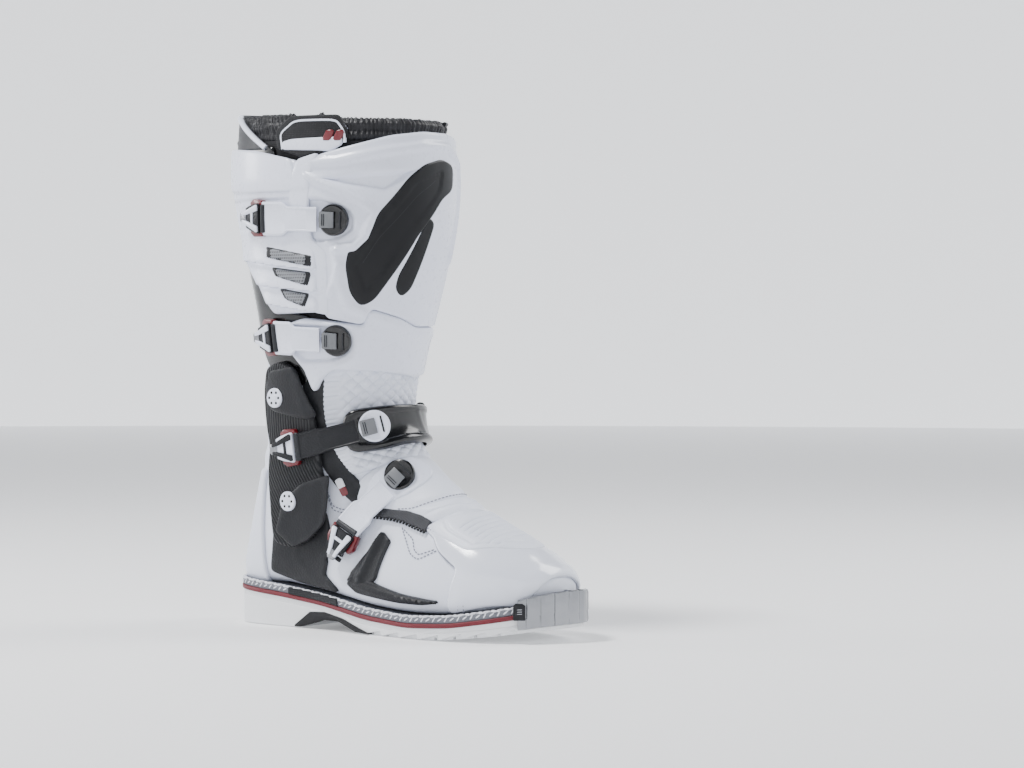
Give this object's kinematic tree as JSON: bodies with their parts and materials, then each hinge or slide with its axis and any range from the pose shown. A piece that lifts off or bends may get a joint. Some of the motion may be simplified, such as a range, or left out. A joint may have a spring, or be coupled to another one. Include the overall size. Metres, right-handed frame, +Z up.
{
  "type": "off-road motorcycle boot",
  "caption": "Tall white and black off-road motorcycle boot with hinged shin plate, double-pivot ankle brace, lever buckles, stitched welt and metal toe guard.",
  "frame": {"origin": "centre of the heel tread's ground face", "axes": "+X towards the toe, -Y towards the outer side, +Z up"},
  "size_m": [0.311, 0.1483, 0.4],
  "materials": {
    "white_plastic": "satin",
    "white_leather": "semi-gloss coated",
    "white_mesh": "matte embossed",
    "black_plastic": "satin",
    "black_gloss": "gloss",
    "dark_fabric": "matte",
    "grey_plastic": "satin",
    "red_plastic": "satin",
    "white_rubber": "matte",
    "black_rubber": "matte",
    "steel": "brushed"
  },
  "bodies": {
    "brace": {"ankle_catch": "red_plastic", "ankle_receiver": "white_plastic", "ankle_yoke": "black_gloss", "bolt_lateral_lower": "white_plastic", "bolt_lateral_upper": "white_plastic", "bolt_medial_lower": "white_plastic", "bolt_medial_upper": "white_plastic", "brace_lateral": "black_plastic", "brace_medial": "black_plastic", "flex_front_lower": "white_mesh", "flex_rear_lower": "white_mesh"},
    "ankle_lever": {"ankle_lever": "white_plastic"},
    "ankle_lock": {"ankle_lock": "grey_plastic"},
    "ankle_strap": {"ankle_strap": "black_plastic"},
    "foot": {"arch_plug": "black_rubber", "cupsole": "white_rubber", "foot_shell": "white_leather", "footbed": "dark_fabric", "fore_tread": "black_rubber", "heel_counter": "white_leather", "heel_tread": "black_rubber", "heel_trim": "black_rubber", "instep_catch": "red_plastic", "instep_plate": "white_plastic", "instep_receiver": "black_plastic", "lateral_side_panel": "black_plastic", "lateral_wedge": "black_rubber", "medial_side_panel": "black_plastic", "rand": "red_plastic", "toe_cap": "white_leather", "toe_guard": "steel", "welt": "white_rubber"},
    "shaft": {"calf_plate": "black_gloss", "cuff_band": "grey_plastic", "flex_front_upper": "white_mesh", "flex_rear_upper": "white_mesh", "gaiter_collar": "dark_fabric", "medial_frame": "white_leather", "medial_grip": "black_rubber", "shaft_liner": "dark_fabric", "shaft_wing": "white_plastic", "shin_catch": "red_plastic", "top_catch": "red_plastic", "vent_mesh": "grey_plastic"},
    "collar_flap": {"collar_flap": "dark_fabric"},
    "instep_lever": {"instep_lever": "white_plastic"},
    "instep_lock": {"instep_lock": "grey_plastic"},
    "instep_strap": {"instep_strap": "white_plastic"},
    "shin_plate": {"shin_blade": "black_gloss", "shin_plate_lower": "white_plastic", "shin_plate_upper": "white_plastic", "shin_receiver": "black_plastic", "top_receiver": "black_plastic"},
    "shin_lever": {"shin_lever": "white_plastic"},
    "shin_lock": {"shin_lock": "grey_plastic"},
    "shin_strap": {"shin_strap": "white_plastic"},
    "top_lever": {"top_lever": "white_plastic"},
    "top_lock": {"top_lock": "grey_plastic"},
    "top_strap": {"top_strap": "white_plastic"}
  },
  "joints": [
    {"name": "ankle_lower_flex", "type": "hinge", "parent": "foot", "child": "brace", "pos_m": [0.033, 0, 0.099], "axis": [0, 1, 0], "range_deg": [-2.5, 6], "stiffness_Nm_per_rad": 60, "deforming": ["flex_front_lower", "flex_rear_lower"]},
    {"name": "ankle_upper_flex", "type": "hinge", "parent": "brace", "child": "shaft", "pos_m": [0.024, 0, 0.179], "axis": [0, 1, 0], "range_deg": [-5.62, 13.5], "stiffness_Nm_per_rad": 30, "deforming": ["flex_front_upper", "flex_rear_upper"]},
    {"name": "shin_plate_hinge", "type": "hinge", "parent": "shaft", "child": "shin_plate", "pos_m": [0.08616, 0.05127, 0.28636], "axis": [0.1015, 0.0954, 0.9903], "range_deg": [0, 40]},
    {"name": "collar_flap_hinge", "type": "hinge", "parent": "shaft", "child": "collar_flap", "pos_m": [0.09559, -0.05475, 0.38043], "axis": [-0.0348, 0.0254, 0.9991], "range_deg": [0, 55]},
    {"name": "top_strap_hinge", "type": "hinge", "parent": "shin_plate", "child": "top_strap", "pos_m": [0.07654, -0.07243, 0.3145], "axis": [0.0575, -0.0506, 0.9971], "range_deg": [0, 55]},
    {"name": "top_lever_hinge", "type": "hinge", "parent": "top_strap", "child": "top_lever", "pos_m": [0.02556, -0.07504, 0.31657], "axis": [0.0527, -0.0825, 0.9952], "range_deg": [0, 105]},
    {"name": "top_lock_hinge", "type": "hinge", "parent": "shin_plate", "child": "top_lock", "pos_m": [0.09066, -0.06986, 0.31375], "axis": [0.0626, -0.0492, 0.9968], "range_deg": [0, 35]},
    {"name": "shin_strap_hinge", "type": "hinge", "parent": "shin_plate", "child": "shin_strap", "pos_m": [0.0701, -0.06151, 0.22321], "axis": [0.0607, -0.1489, 0.987], "range_deg": [0, 55]},
    {"name": "shin_lever_hinge", "type": "hinge", "parent": "shin_strap", "child": "shin_lever", "pos_m": [0.0283, -0.06441, 0.22502], "axis": [-0.0298, -0.1323, 0.9908], "range_deg": [0, 105]},
    {"name": "shin_lock_hinge", "type": "hinge", "parent": "shin_plate", "child": "shin_lock", "pos_m": [0.08391, -0.05828, 0.22201], "axis": [0.1114, -0.1415, 0.9837], "range_deg": [0, 35]},
    {"name": "ankle_strap_hinge", "type": "hinge", "parent": "brace", "child": "ankle_strap", "pos_m": [0.09454, -0.04485, 0.15408], "axis": [-0.1928, -0.0789, 0.9781], "range_deg": [0, 55]},
    {"name": "ankle_lever_hinge", "type": "hinge", "parent": "ankle_strap", "child": "ankle_lever", "pos_m": [0.04511, -0.0573, 0.14102], "axis": [-0.1032, -0.0548, 0.9931], "range_deg": [0, 105]},
    {"name": "ankle_lock_hinge", "type": "hinge", "parent": "brace", "child": "ankle_lock", "pos_m": [0.10634, -0.03812, 0.15821], "axis": [-0.2582, -0.0732, 0.9633], "range_deg": [0, 35]},
    {"name": "instep_strap_hinge", "type": "hinge", "parent": "foot", "child": "instep_strap", "pos_m": [0.11378, -0.03323, 0.11157], "axis": [-0.7621, -0.0791, 0.6426], "range_deg": [0, 55]},
    {"name": "instep_lever_hinge", "type": "hinge", "parent": "instep_strap", "child": "instep_lever", "pos_m": [0.08482, -0.04562, 0.07958], "axis": [-0.9014, 0.0731, 0.4267], "range_deg": [0, 105]},
    {"name": "instep_lock_hinge", "type": "hinge", "parent": "foot", "child": "instep_lock", "pos_m": [0.12191, -0.0285, 0.12227], "axis": [-0.7633, -0.1165, 0.6355], "range_deg": [0, 35]}
  ],
  "couplings": [
    {"joint": "ankle_upper_flex", "follows": "ankle_lower_flex", "ratio": 2.25}
  ]
}
